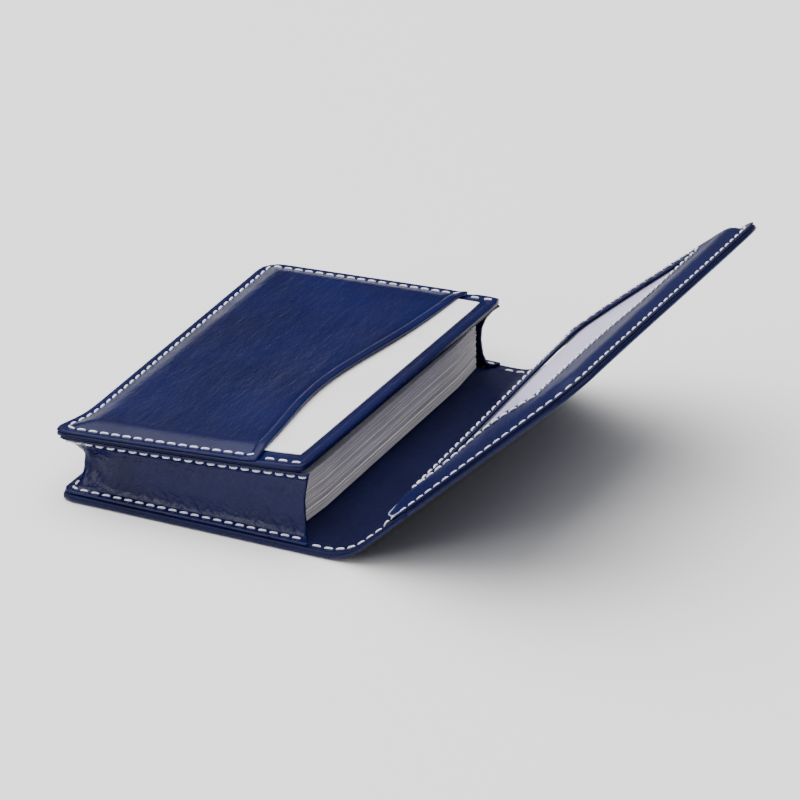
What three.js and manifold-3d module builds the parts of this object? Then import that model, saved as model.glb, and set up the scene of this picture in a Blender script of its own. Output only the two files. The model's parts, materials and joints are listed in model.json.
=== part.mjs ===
// Gusseted leather business card case, open, holding a stack of cards.
// Millimetres, +Z up. The case lies on its back panel. +X runs from the pocket's closed end
// to its mouth and on to the flap, +Y runs across the width, and the origin is the middle of
// the card pocket's footprint, on the underside of the back panel.

import * as THREE from 'three';
import Module from 'manifold-3d';
import { mergeVertices } from 'three/addons/utils/BufferGeometryUtils.js';

// ---------- driving dimensions ----------

const CARD_LENGTH = 50.8;         // along the pocket
const CARD_WIDTH = 88.9;
const CARD_THICKNESS = 0.5;
const CARD_COUNT = 14;            // the top one slides out by itself
const CARD_CORNER = 0.6;
const CARD_RECESS = 3;            // mouth edge of the stack, behind the front panel's
const CARD_END_MARGIN = 5.2;      // closed end of the pocket to the stack
const CARD_SIDE_MARGIN = 5.05;    // side of the panels to the stack
const CARD_SIDE_CLEARANCE = 0.75; // between a card's end and the gusset wall
const POCKET_HEADROOM = 0.35;     // stack to the top flange of the gusset, at the closed end
const POCKET_RISE = 2.8;          // how much higher the front panel is at the mouth

const LEATHER = 0.7;              // outer leather
const LINING = 0.5;
const BOARD = 0.5;                // stiffener board inside a panel
const GUSSET_LEATHER = 0.7;
const POCKET_LEATHER = 0.8;       // slip pocket and window panel
const THREAD = 0.5;               // width of a row of stitches
const THREAD_PROUD = 0.25;
const GAP = 0.3;                  // left between pieces that touch

const FOLD_STANDOFF = 4;          // lower fold, beyond the front panel's mouth edge
const FLAP_SETBACK = 9;           // closed flap's tip, short of the closed end
const SPINE_REST_ANGLE = 34.3;    // the spine's rise from the floor, degrees
const FLAP_REST_ANGLE = 43.5;     // the flap's rise from the floor, degrees
const FOLD_CLEARANCE = 0.25;      // between two layers that meet at a closed fold
const CLOSED_CLEARANCE = 0.6;     // closed flap above the stitches of the front panel

const STITCH_INSET = 2;           // row of stitches, in from a panel's edge
const BOARD_INSET = 3;            // stiffener board, in from a panel's edge
const BOARD_CORNER = 1;
const FLANGE_SETBACK = 0.5;       // gusset flange, in from a panel's edge
const MOUTH_SETBACK = 0.6;        // gusset, back from the front panel's mouth edge
const CASE_CORNER = 4;            // closed-end corners
const MOUTH_CORNER = 1.8;
const FLAP_CORNER = 7;
const GUSSET_FOLD_DEPTH = 5;      // how far the side gusset's end is pinched in
const GUSSET_MOUTH_SWEEP = 2.3;   // how far its mouth edge is hollowed

const SLIP_SETBACK = 10;          // slip pocket's mouth edge, back from the front panel's
const SLIP_SCOOP = 6.5;           // hollow in that edge
const SLIP_CARD_THICKNESS = 0.35;
const SLIP_CARD_RECESS = 3;       // its edge, back from the front panel's mouth edge

const WINDOW_CARD_TIP_MARGIN = 4; // flap's tip to the window card
const WINDOW_CARD_SIDE_MARGIN = 6.5;
const WINDOW_CARD_THICKNESS = 0.35;
const WINDOW_CARD_CLEARANCE = 0.6;
const FILM = 0.2;
const WINDOW_START = 8;           // window's fold-side edge, from the upper fold
const WINDOW_TIP_MARGIN = 13;     // window's edge to the flap's tip
const WINDOW_SIDE_MARGIN = 10.5;
const WINDOW_STITCH_INSET = 2;    // row of stitches, outside the window's edge
const FILM_LAP = 2.5;             // film held under the window's edge
const PANEL_MOUTH_LENGTH = 7;     // strip of the window panel that lies on the spine

const ARC_STEPS = 6;              // straight steps in a rounded corner

// ---------- colours and finishes ----------

const NAVY = { color: 0x141c55, roughness: 0.32, metalness: 0 };
const NAVY_LINING = { color: 0x101743, roughness: 0.45, metalness: 0 };
const GREY_BOARD = { color: 0x8f8a80, roughness: 0.9, metalness: 0 };
const WHITE_CARD = { color: 0xeceaea, roughness: 0.7, metalness: 0 };
const PALE_CARD = { color: 0xcfc9e4, roughness: 0.6, metalness: 0 };
const CLEAR_FILM = { color: 0xf2f2ff, roughness: 0.1, metalness: 0 };
const WHITE_THREAD = { color: 0xe4e4f4, roughness: 0.75, metalness: 0 };

// ---------- derived sizes ----------

const CASE_WIDTH = CARD_WIDTH + 2 * CARD_SIDE_MARGIN;
const HALF_WIDTH = CASE_WIDTH / 2;
const POCKET_LENGTH = CARD_END_MARGIN + CARD_LENGTH + CARD_RECESS;
const LAYER_STACK = LEATHER + GAP + BOARD + GAP + LINING;
const GUSSET_BOTTOM = LAYER_STACK + GAP;
const STACK_BOTTOM = LAYER_STACK + GAP;
const STACK_MOUTH = POCKET_LENGTH - CARD_RECESS;
const CARD_PITCH = CARD_THICKNESS + GAP;
const STACK_TOP = STACK_BOTTOM + CARD_COUNT * CARD_PITCH - GAP;
const GUSSET_WALL_Y = CARD_WIDTH / 2 + CARD_SIDE_CLEARANCE;

// The front panel's top face, above the floor at the closed end, and its slope to the mouth.
const POCKET_HEIGHT = STACK_TOP + POCKET_HEADROOM + LAYER_STACK;
const FRONT_TILT = Math.atan2(POCKET_RISE, POCKET_LENGTH);

// Heights in the front panel's own frame are measured from that top face.
const SLIP_CARD_BOTTOM = GAP;
const SLIP_POCKET_UNDER = SLIP_CARD_BOTTOM + SLIP_CARD_THICKNESS + GAP;
const SLIP_POCKET_TOP = SLIP_POCKET_UNDER + POCKET_LEATHER;
const TOP_FLANGE_TOP = -LAYER_STACK - GAP;
const TOP_FLANGE_BOTTOM = TOP_FLANGE_TOP - GUSSET_LEATHER;

// Layer heights above a folding panel's neutral plane, the middle of its outer leather.
const LINING_TOP = LAYER_STACK - LEATHER / 2;
const LINING_BOTTOM = LINING_TOP - LINING;
const BOARD_BOTTOM = LEATHER / 2 + GAP;
const WINDOW_CARD_BOTTOM = LINING_TOP + GAP;
const WINDOW_CARD_TOP = WINDOW_CARD_BOTTOM + WINDOW_CARD_THICKNESS;
const FILM_BOTTOM = WINDOW_CARD_TOP + GAP;
const PANEL_UNDER = FILM_BOTTOM + FILM + GAP;
const PANEL_TOP = PANEL_UNDER + POCKET_LEATHER;
const MOUTH_STRIP_TOP = LINING_TOP + GAP + POCKET_LEATHER;
const THREAD_TOP = GAP + THREAD_PROUD;

// The lower fold, and the panels that turn about it and about the upper one.
const FOLD_X = POCKET_LENGTH + FOLD_STANDOFF;
const FOLD_Z = LEATHER / 2;
const CLOSED_STACK = SLIP_POCKET_TOP + THREAD_TOP + CLOSED_CLEARANCE + THREAD_TOP + PANEL_TOP;
const SPINE_LENGTH = POCKET_HEIGHT + POCKET_RISE + CLOSED_STACK - FOLD_Z;
const FLAP_LENGTH = FOLD_X - FLAP_SETBACK;

// How far from a fold a layer has to end, so that it clears its neighbour when closed.
const foldMargin = (topOfLayer) => topOfLayer + FOLD_CLEARANCE;

const WINDOW_CARD_START = foldMargin(WINDOW_CARD_TOP);
const WINDOW_CARD_END = FLAP_LENGTH - WINDOW_CARD_TIP_MARGIN;
const WINDOW_CARD_Y = HALF_WIDTH - WINDOW_CARD_SIDE_MARGIN;
const WINDOW_END = FLAP_LENGTH - WINDOW_TIP_MARGIN;
const WINDOW_Y = HALF_WIDTH - WINDOW_SIDE_MARGIN;

const kernel = await Module();
kernel.setup();

// ---------- solid helpers ----------

// A closed solid for joining and cutting.
function toSolid(geometry) {
  const bare = geometry.clone();
  bare.deleteAttribute('normal');
  bare.deleteAttribute('uv');
  const merged = mergeVertices(bare, 1e-4);
  const vertProperties = new Float32Array(merged.attributes.position.array);
  const triVerts = new Uint32Array(merged.index.array);
  return new kernel.Manifold(new kernel.Mesh({ numProp: 3, vertProperties, triVerts }));
}

function toGeometry(solid) {
  const mesh = solid.getMesh();
  const geometry = new THREE.BufferGeometry();
  geometry.setAttribute('position', new THREE.BufferAttribute(new Float32Array(mesh.vertProperties), 3));
  geometry.setIndex(new THREE.BufferAttribute(new Uint32Array(mesh.triVerts), 1));
  return geometry;
}

function join(...geometries) {
  return toGeometry(geometries.map(toSolid).reduce((sum, solid) => sum.add(solid)));
}

function cut(geometry, ...tools) {
  return toGeometry(tools.map(toSolid).reduce((rest, tool) => rest.subtract(tool), toSolid(geometry)));
}

// A flat layer: an outline in X and Y, from one height to another.
function layer(shape, bottom, top) {
  const options = { depth: top - bottom, bevelEnabled: false, curveSegments: ARC_STEPS };
  return new THREE.ExtrudeGeometry(shape, options).translate(0, 0, bottom);
}

function block(x0, x1, y0, y1, z0, z1) {
  const box = new THREE.BoxGeometry(x1 - x0, y1 - y0, z1 - z0);
  return box.translate((x0 + x1) / 2, (y0 + y1) / 2, (z0 + z1) / 2);
}

// ---------- outlines ----------

// A panel across the width, with its own corner radius at each end.
function panelOutline(x0, x1, halfWidth, startRadius, endRadius) {
  const shape = new THREE.Shape();
  shape.moveTo(x0 + startRadius, -halfWidth);
  shape.lineTo(x1 - endRadius, -halfWidth);
  roundTo(shape, x1 - endRadius, -halfWidth + endRadius, endRadius, -Math.PI / 2);
  shape.lineTo(x1, halfWidth - endRadius);
  roundTo(shape, x1 - endRadius, halfWidth - endRadius, endRadius, 0);
  shape.lineTo(x0 + startRadius, halfWidth);
  roundTo(shape, x0 + startRadius, halfWidth - startRadius, startRadius, Math.PI / 2);
  shape.lineTo(x0, -halfWidth + startRadius);
  roundTo(shape, x0 + startRadius, -halfWidth + startRadius, startRadius, Math.PI);
  return shape;
}

// A stiffener board, inset from both sides of its panel.
function boardOutline(x0, x1, endRadius) {
  return panelOutline(x0, x1, HALF_WIDTH - BOARD_INSET, BOARD_CORNER, endRadius);
}

function roundTo(path, centreX, centreY, radius, startAngle) {
  if (radius > 0) {
    path.absarc(centreX, centreY, radius, startAngle, startAngle + Math.PI / 2, false);
  }
}

// A band along two sides and the closed end of a panel, open at the other end.
function bandOutline(closedX, openX, halfWidth, radius, width) {
  const toOpen = Math.sign(openX - closedX);
  const innerRadius = radius - width;
  const arcX = closedX + toOpen * radius;
  const arcY = halfWidth - radius;
  const turn = toOpen > 0 ? Math.PI : 0;
  const shape = new THREE.Shape();
  shape.moveTo(openX, -halfWidth);
  shape.lineTo(arcX, -halfWidth);
  shape.absarc(arcX, -arcY, radius, -Math.PI / 2, -turn, toOpen > 0);
  shape.lineTo(closedX, arcY);
  shape.absarc(arcX, arcY, radius, turn, Math.PI / 2, toOpen > 0);
  shape.lineTo(openX, halfWidth);
  shape.lineTo(openX, halfWidth - width);
  shape.lineTo(arcX, halfWidth - width);
  shape.absarc(arcX, arcY, innerRadius, Math.PI / 2, turn, toOpen < 0);
  shape.lineTo(closedX + toOpen * width, -arcY);
  shape.absarc(arcX, -arcY, innerRadius, -turn, -Math.PI / 2, toOpen < 0);
  shape.lineTo(openX, -halfWidth + width);
  return shape;
}

// The slip pocket: its mouth edge is set back, and scooped in the middle.
function slipPocketOutline() {
  const mouth = POCKET_LENGTH - SLIP_SETBACK;
  const bottom = mouth - SLIP_SCOOP;
  const shoulder = HALF_WIDTH * 0.45;
  const shape = new THREE.Shape();
  shape.moveTo(CASE_CORNER, -HALF_WIDTH);
  shape.lineTo(mouth, -HALF_WIDTH);
  shape.bezierCurveTo(bottom + 1, -HALF_WIDTH + SLIP_SETBACK, bottom, -shoulder, bottom, 0);
  shape.bezierCurveTo(bottom, shoulder, bottom + 1, HALF_WIDTH - SLIP_SETBACK, mouth, HALF_WIDTH);
  shape.lineTo(CASE_CORNER, HALF_WIDTH);
  roundTo(shape, CASE_CORNER, HALF_WIDTH - CASE_CORNER, CASE_CORNER, Math.PI / 2);
  shape.lineTo(0, -HALF_WIDTH + CASE_CORNER);
  roundTo(shape, CASE_CORNER, -HALF_WIDTH + CASE_CORNER, CASE_CORNER, Math.PI);
  return shape;
}

// ---------- the scene graph ----------

// Lengths in the case's own group run from the closed end.
const cardCase = new THREE.Group();
const caseModel = new THREE.Group();
caseModel.position.x = -POCKET_LENGTH / 2;
cardCase.add(caseModel);

const frontFrame = new THREE.Group();
frontFrame.position.set(0, 0, POCKET_HEIGHT);
frontFrame.rotation.y = -FRONT_TILT;
caseModel.add(frontFrame);

const spineFrame = new THREE.Group();
spineFrame.position.set(FOLD_X, 0, FOLD_Z);
spineFrame.rotation.y = -THREE.MathUtils.degToRad(SPINE_REST_ANGLE);
caseModel.add(spineFrame);

const flapFrame = new THREE.Group();
flapFrame.position.set(SPINE_LENGTH, 0, 0);
flapFrame.rotation.y = -THREE.MathUtils.degToRad(FLAP_REST_ANGLE - SPINE_REST_ANGLE);
spineFrame.add(flapFrame);

caseModel.updateMatrixWorld(true);

function addPiece(parent, name, geometry, finish) {
  const mesh = new THREE.Mesh(geometry, new THREE.MeshStandardMaterial(finish));
  mesh.name = name;
  parent.add(mesh);
}

// ---------- back panel ----------

function addBackPanel() {
  const leatherEnd = FOLD_X - foldMargin(LEATHER / 2);
  const liningEnd = FOLD_X - foldMargin(LINING_TOP);
  const outer = panelOutline(0, leatherEnd, HALF_WIDTH, CASE_CORNER, 0);
  const board = boardOutline(BOARD_INSET, POCKET_LENGTH - BOARD_INSET, BOARD_CORNER);
  const lining = panelOutline(0, liningEnd, HALF_WIDTH, CASE_CORNER, 0);
  const boardBottom = LEATHER + GAP;
  const liningBottom = boardBottom + BOARD + GAP;
  addPiece(caseModel, 'back_outer_leather', layer(outer, 0, LEATHER), NAVY);
  addPiece(caseModel, 'back_stiffener', layer(board, boardBottom, boardBottom + BOARD), GREY_BOARD);
  addPiece(caseModel, 'back_lining', layer(lining, liningBottom, liningBottom + LINING), NAVY_LINING);
}

// ---------- front panel and slip pocket ----------

function addFrontPanel() {
  const outline = panelOutline(0, POCKET_LENGTH, HALF_WIDTH, CASE_CORNER, MOUTH_CORNER);
  const board = boardOutline(BOARD_INSET, POCKET_LENGTH - BOARD_INSET, BOARD_CORNER);
  const boardTop = -LEATHER - GAP;
  const liningTop = boardTop - BOARD - GAP;
  addPiece(frontFrame, 'front_outer_leather', layer(outline, -LEATHER, 0), NAVY);
  addPiece(frontFrame, 'front_stiffener', layer(board, boardTop - BOARD, boardTop), GREY_BOARD);
  addPiece(frontFrame, 'front_lining', layer(outline, liningTop - LINING, liningTop), NAVY_LINING);
}

function slipCardStart() {
  return POCKET_LENGTH - SLIP_CARD_RECESS - CARD_LENGTH;
}

// The pocket is sewn flat to the front panel at its margins and stands over the card between.
function addSlipPocket() {
  const hollowY = CARD_WIDTH / 2 + 2 * GAP;
  const hollow = block(slipCardStart() - 2 * GAP, POCKET_LENGTH, -hollowY, hollowY, 0, SLIP_POCKET_UNDER);
  const skin = layer(slipPocketOutline(), GAP, SLIP_POCKET_TOP);
  addPiece(frontFrame, 'slip_pocket', cut(skin, hollow), NAVY);
}

function addSlipCard() {
  const end = POCKET_LENGTH - SLIP_CARD_RECESS;
  const outline = panelOutline(slipCardStart(), end, CARD_WIDTH / 2, CARD_CORNER, CARD_CORNER);
  const card = layer(outline, SLIP_CARD_BOTTOM, SLIP_CARD_BOTTOM + SLIP_CARD_THICKNESS);
  addPiece(frontFrame, 'slip_card', card, WHITE_CARD);
}

// ---------- gusset ----------

// Height of a level of the front panel's frame above the floor.
function frontLevel(x, level) {
  return POCKET_HEIGHT + x * Math.tan(FRONT_TILT) + level / Math.cos(FRONT_TILT);
}

function topFlange(x0, x1, y0, y1) {
  return block(x0, x1, y0, y1, TOP_FLANGE_BOTTOM, TOP_FLANGE_TOP).applyMatrix4(frontFrame.matrix);
}

function bottomFlange(x0, x1, y0, y1) {
  return block(x0, x1, y0, y1, GUSSET_BOTTOM, GUSSET_BOTTOM + GUSSET_LEATHER);
}

// The side gusset's wall seen from the side: pinched at the closed end, hollowed at the mouth.
function sideWallOutline(x0, x1) {
  const flangeMiddle = TOP_FLANGE_BOTTOM + GUSSET_LEATHER / 2;
  const bottom = GUSSET_BOTTOM + GUSSET_LEATHER / 2;
  const topEnd = frontLevel(x0, flangeMiddle);
  const topMouth = frontLevel(x1, flangeMiddle);
  const shape = new THREE.Shape();
  shape.moveTo(x0, bottom);
  shape.lineTo(x1, bottom);
  shape.quadraticCurveTo(x1 - 2 * GUSSET_MOUTH_SWEEP, (bottom + topMouth) / 2, x1, topMouth);
  shape.lineTo(x0, topEnd);
  shape.lineTo(x0 + GUSSET_FOLD_DEPTH, (bottom + topEnd) / 2);
  return shape;
}

function sideGusset(side) {
  const x0 = STITCH_INSET + THREAD + GAP;
  const x1 = POCKET_LENGTH - MOUTH_SETBACK;
  const inner = GUSSET_WALL_Y;
  const outer = HALF_WIDTH - FLANGE_SETBACK;
  const options = { depth: GUSSET_LEATHER, bevelEnabled: false, curveSegments: 2 * ARC_STEPS };
  const wall = new THREE.ExtrudeGeometry(sideWallOutline(x0, x1), options);
  wall.rotateX(Math.PI / 2);
  wall.translate(0, side > 0 ? inner + GUSSET_LEATHER : -inner, 0);
  const y0 = Math.min(side * inner, side * outer);
  const y1 = Math.max(side * inner, side * outer);
  const flangeStart = FLANGE_SETBACK + CASE_CORNER / 2;
  return join(wall, bottomFlange(flangeStart, x1, y0, y1), topFlange(flangeStart, x1, y0, y1));
}

function endGusset() {
  const halfLength = GUSSET_WALL_Y - GAP;
  const x0 = FLANGE_SETBACK;
  const x1 = CARD_END_MARGIN - 2 * GAP;
  const wallTop = frontLevel(x1, TOP_FLANGE_BOTTOM + GUSSET_LEATHER / 2);
  const wallBottom = GUSSET_BOTTOM + GUSSET_LEATHER / 2;
  const wall = block(x1 - GUSSET_LEATHER, x1, -halfLength, halfLength, wallBottom, wallTop);
  const bottom = bottomFlange(x0, x1, -halfLength, halfLength);
  return join(wall, bottom, topFlange(x0, x1, -halfLength, halfLength));
}

function addGusset() {
  addPiece(caseModel, 'gusset_near', sideGusset(-1), NAVY);
  addPiece(caseModel, 'gusset_far', sideGusset(1), NAVY);
  addPiece(caseModel, 'gusset_end', endGusset(), NAVY);
}

// ---------- cards in the pocket ----------

function addCards() {
  const start = STACK_MOUTH - CARD_LENGTH;
  const outline = panelOutline(start, STACK_MOUTH, CARD_WIDTH / 2, CARD_CORNER, CARD_CORNER);
  for (let i = 0; i < CARD_COUNT; i += 1) {
    const bottom = STACK_BOTTOM + i * CARD_PITCH;
    const isTop = i === CARD_COUNT - 1;
    const name = isTop ? 'top_card' : `card_${String(i + 1).padStart(2, '0')}`;
    addPiece(caseModel, name, layer(outline, bottom, bottom + CARD_THICKNESS), WHITE_CARD);
  }
}

// ---------- spine and flap ----------

// Both are drawn flat in their own frames, from the fold at X = 0 and about the middle of
// the outer leather, with the inside of the case above them.
function addSpine() {
  const leatherMargin = foldMargin(LEATHER / 2);
  const liningMargin = foldMargin(LINING_TOP);
  const stripEnd = SPINE_LENGTH - foldMargin(MOUTH_STRIP_TOP);
  const leather = panelOutline(leatherMargin, SPINE_LENGTH - leatherMargin, HALF_WIDTH, 0, 0);
  const lining = panelOutline(liningMargin, SPINE_LENGTH - liningMargin, HALF_WIDTH, 0, 0);
  const strip = panelOutline(stripEnd - PANEL_MOUTH_LENGTH, stripEnd, HALF_WIDTH, PANEL_MOUTH_LENGTH - 1, 0);
  addPiece(spineFrame, 'spine_outer_leather', layer(leather, -LEATHER / 2, LEATHER / 2), NAVY);
  addPiece(spineFrame, 'spine_lining', layer(lining, LEATHER / 2 + GAP, LINING_TOP), NAVY_LINING);
  addPiece(spineFrame, 'window_panel_mouth', layer(strip, LINING_TOP + GAP, MOUTH_STRIP_TOP), NAVY);
}

function addFlap() {
  const outer = panelOutline(foldMargin(LEATHER / 2), FLAP_LENGTH, HALF_WIDTH, 0, FLAP_CORNER);
  const board = boardOutline(BOARD_INSET, FLAP_LENGTH - BOARD_INSET, FLAP_CORNER - BOARD_INSET);
  const lining = panelOutline(foldMargin(LINING_TOP), FLAP_LENGTH, HALF_WIDTH, 0, FLAP_CORNER);
  addPiece(flapFrame, 'flap_outer_leather', layer(outer, -LEATHER / 2, LEATHER / 2), NAVY);
  addPiece(flapFrame, 'flap_stiffener', layer(board, BOARD_BOTTOM, BOARD_BOTTOM + BOARD), GREY_BOARD);
  addPiece(flapFrame, 'flap_lining', layer(lining, LINING_BOTTOM, LINING_TOP), NAVY_LINING);
}

// ---------- window pocket inside the flap ----------

function addWindowPanel() {
  const outline = panelOutline(foldMargin(PANEL_TOP), FLAP_LENGTH, HALF_WIDTH, 0, FLAP_CORNER);
  const skin = layer(outline, LINING_TOP + GAP, PANEL_TOP);
  const hollowEnd = WINDOW_CARD_END + WINDOW_CARD_CLEARANCE;
  const hollowY = WINDOW_CARD_Y + WINDOW_CARD_CLEARANCE;
  const hollow = block(0, hollowEnd, -hollowY, hollowY, 0, PANEL_UNDER);
  const opening = block(WINDOW_START, WINDOW_END, -WINDOW_Y, WINDOW_Y, 0, 2 * PANEL_TOP);
  addPiece(flapFrame, 'window_panel', cut(skin, hollow, opening), NAVY);
}

function addWindowFilm() {
  const outline = panelOutline(WINDOW_START - FILM_LAP, WINDOW_END + FILM_LAP, WINDOW_Y + FILM_LAP, 0, 0);
  addPiece(flapFrame, 'window_film', layer(outline, FILM_BOTTOM, FILM_BOTTOM + FILM), CLEAR_FILM);
}

function addWindowCard() {
  const outline = panelOutline(WINDOW_CARD_START, WINDOW_CARD_END, WINDOW_CARD_Y, CARD_CORNER, CARD_CORNER);
  addPiece(flapFrame, 'window_card', layer(outline, WINDOW_CARD_BOTTOM, WINDOW_CARD_TOP), PALE_CARD);
}

// ---------- rows of stitches ----------

// A row along both sides and the closed end of a panel.
function threadBand(closedX, openX, corner, bottom) {
  const toOpen = Math.sign(openX - closedX);
  const inset = STITCH_INSET - THREAD / 2;
  const outline = bandOutline(closedX + toOpen * inset, openX, HALF_WIDTH - inset, corner - inset, THREAD);
  return layer(outline, bottom, bottom + THREAD_PROUD);
}

// A straight row beside one edge of a panel.
function threadRow(x0, x1, side, bottom) {
  const middle = side * (HALF_WIDTH - STITCH_INSET);
  return block(x0, x1, middle - THREAD / 2, middle + THREAD / 2, bottom, bottom + THREAD_PROUD);
}

function addPocketThreads() {
  const backThread = GUSSET_BOTTOM + GUSSET_LEATHER + GAP;
  const slipMouth = POCKET_LENGTH - SLIP_SETBACK;
  const mouthEnd = POCKET_LENGTH - STITCH_INSET;
  addPiece(caseModel, 'thread_back', threadBand(0, mouthEnd, CASE_CORNER, backThread), WHITE_THREAD);
  addPiece(
    frontFrame,
    'thread_front',
    threadBand(0, slipMouth - GAP, CASE_CORNER, SLIP_POCKET_TOP + GAP),
    WHITE_THREAD,
  );
  for (const [name, side] of [['near', -1], ['far', 1]]) {
    const row = threadRow(slipMouth + GAP, mouthEnd, side, GAP);
    addPiece(frontFrame, `thread_mouth_${name}`, row, WHITE_THREAD);
  }
}

function addSpineThreads() {
  const x0 = foldMargin(LINING_TOP);
  const x1 = SPINE_LENGTH - foldMargin(MOUTH_STRIP_TOP) - PANEL_MOUTH_LENGTH - GAP;
  for (const [name, side] of [['near', -1], ['far', 1]]) {
    const row = threadRow(x0, x1, side, LINING_TOP + GAP);
    addPiece(spineFrame, `thread_spine_${name}`, row, WHITE_THREAD);
  }
}

function addFlapThreads() {
  const bottom = PANEL_TOP + GAP;
  const outer = WINDOW_STITCH_INSET + THREAD / 2;
  const inner = WINDOW_STITCH_INSET - THREAD / 2;
  const ring = panelOutline(WINDOW_START - outer, WINDOW_END + outer, WINDOW_Y + outer, 0, 0);
  ring.holes.push(panelOutline(WINDOW_START - inner, WINDOW_END + inner, WINDOW_Y + inner, 0, 0));
  const flapThread = threadBand(FLAP_LENGTH, foldMargin(bottom + THREAD_PROUD), FLAP_CORNER, bottom);
  addPiece(flapFrame, 'thread_flap', flapThread, WHITE_THREAD);
  addPiece(flapFrame, 'thread_window', layer(ring, bottom, bottom + THREAD_PROUD), WHITE_THREAD);
}

addBackPanel();
addGusset();
addCards();
addFrontPanel();
addSlipCard();
addSlipPocket();
addPocketThreads();
addSpine();
addSpineThreads();
addFlap();
addWindowCard();
addWindowFilm();
addWindowPanel();
addFlapThreads();

export default cardCase;
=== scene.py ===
import json
import math

import bpy
import numpy as np
from mathutils import Matrix, Vector


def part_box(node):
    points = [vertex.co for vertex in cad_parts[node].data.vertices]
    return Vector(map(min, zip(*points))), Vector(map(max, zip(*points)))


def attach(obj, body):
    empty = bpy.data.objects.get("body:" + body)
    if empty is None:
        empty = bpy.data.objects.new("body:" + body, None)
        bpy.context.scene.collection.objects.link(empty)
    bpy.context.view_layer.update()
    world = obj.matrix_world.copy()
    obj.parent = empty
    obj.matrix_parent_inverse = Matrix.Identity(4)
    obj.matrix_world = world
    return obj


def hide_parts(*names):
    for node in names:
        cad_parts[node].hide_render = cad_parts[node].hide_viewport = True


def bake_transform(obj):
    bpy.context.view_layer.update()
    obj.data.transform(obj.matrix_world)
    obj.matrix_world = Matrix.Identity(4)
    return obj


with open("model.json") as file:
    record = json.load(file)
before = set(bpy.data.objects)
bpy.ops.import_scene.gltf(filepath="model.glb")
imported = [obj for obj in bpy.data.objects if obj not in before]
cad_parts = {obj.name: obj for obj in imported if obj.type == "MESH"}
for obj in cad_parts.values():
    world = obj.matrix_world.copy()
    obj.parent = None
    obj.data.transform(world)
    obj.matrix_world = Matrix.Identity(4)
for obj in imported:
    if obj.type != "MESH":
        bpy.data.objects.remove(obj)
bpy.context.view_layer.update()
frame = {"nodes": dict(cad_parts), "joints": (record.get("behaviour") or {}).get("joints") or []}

MM = 0.001

# ---------- sizes read from the frame, in millimetres ----------


def node_box(name):
    low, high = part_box(name)
    return np.array(low) / MM, np.array(high) / MM


JOINTS = {joint["name"]: joint for joint in frame["joints"]}
FOLD = np.array(JOINTS["spine_fold"]["pos_m"]) / MM
UPPER_FOLD = np.array(JOINTS["flap_fold"]["pos_m"]) / MM

back_low, back_high = node_box("back_outer_leather")
front_high = node_box("front_outer_leather")[1]
stack_high = node_box("top_card")[1]
lining_high = node_box("back_lining")[1]
slip_axis = JOINTS["slip_card_slide"]["axis"]

X0 = back_low[0]                       # closed end of the pocket
MOUTH = front_high[0]                  # front panel's mouth edge
HALF = back_high[1]                    # half the width of the case
TILT = math.atan2(slip_axis[2], slip_axis[0])
FRONT_Z = front_high[2] - (MOUTH - X0) * math.tan(TILT)
LAYERS = lining_high[2]                # back panel's thickness

# ---------- sizes of the visible leather, in millimetres ----------

# Heights in a panel are measured from the middle of its outer leather.
LEATHER_HALF = 0.35
BOARD_LOW = 0.47                       # the stiffener's space, from the outer leather
BOARD_HIGH = 1.33                      # to the lining
CASE_MARGIN = (0.62, 1.22)             # leather and lining faces in the case's sewn margin
FLAP_MARGIN = (0.42, 0.86)             # and in the flap's
LINING_TOP = 1.95                      # lining face over the stiffener
PLY_GAP = 0.02                         # half the seam line between two plies
NEAR_CORNER = 2.6                      # corners of the closed end
FAR_CORNER = 4.6
MOUTH_CORNER = 1.8
TIP_CORNER = 9.0
MARGIN_IN = 2.5                        # the sewn margin ends here,
MARGIN_OUT = 4.6                       # and the panel is at its full height from here
STITCH_INSET = 2.0
STITCH_PITCH = 2.7
STITCH_LENGTH = 1.95
STITCH_SLANT = 0.09
THREAD_RADIUS = 0.27
STITCH_RISE = 0.02                     # stitches, above the seam they lie in
SEAM_CORNER = 1.6                      # radius of the seams' corners at the closed end
RIM_RADIUS = 0.5
PLY_RADIUS = 0.1

# The folding leather at rest: flat under the pocket, one smooth bend, then the straight flap.
FLAP_ANGLE = math.radians(43.5)
CORNER_X = UPPER_FOLD[0] - (UPPER_FOLD[2] - FOLD[2]) / math.tan(FLAP_ANGLE)
BEND_TANGENT = 5.8
BEND_RADIUS = BEND_TANGENT / math.tan(FLAP_ANGLE / 2)
BEND_START = CORNER_X - BEND_TANGENT - X0
BEND_LENGTH = BEND_RADIUS * FLAP_ANGLE
FOLD_S = BEND_START + BEND_LENGTH + math.hypot(
    UPPER_FOLD[0] - CORNER_X, UPPER_FOLD[2] - FOLD[2]) - BEND_TANGENT
FLAP_LENGTH = (node_box("flap_outer_leather")[1][0] - UPPER_FOLD[0]) / math.cos(FLAP_ANGLE)
TIP_S = FOLD_S + FLAP_LENGTH - 2.6
FAR_PROUD = 1.8                        # twist of the flap's far side, at the fold
FAR_BACK = 1.2                         # and at the tip
SPLIT_S = FOLD_S - 1.0                 # where the two lengths of leather meet

# ---------- helpers ----------


def smooth(edge0, edge1, x):
    t = np.clip((x - edge0) / (edge1 - edge0), 0, 1)
    return t * t * (3 - 2 * t)


def bump(x, centre, width):
    return np.exp(-((x - centre) / width) ** 2)


def ripples(x, y, seed, wavelength, angle=0.0, spread=0.5, count=14):
    """Smooth irregular creases, roughly along one direction, between about -1 and 1."""
    rng = np.random.RandomState(seed)
    total = np.zeros_like(x, dtype=float)
    for _ in range(count):
        turn = angle + rng.normal(0, spread)
        wave = 2 * math.pi / (wavelength * rng.uniform(0.6, 1.6))
        total += np.sin(wave * (x * math.cos(turn) + y * math.sin(turn)) + rng.uniform(0, 6.28))
    return total / math.sqrt(count)


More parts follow.
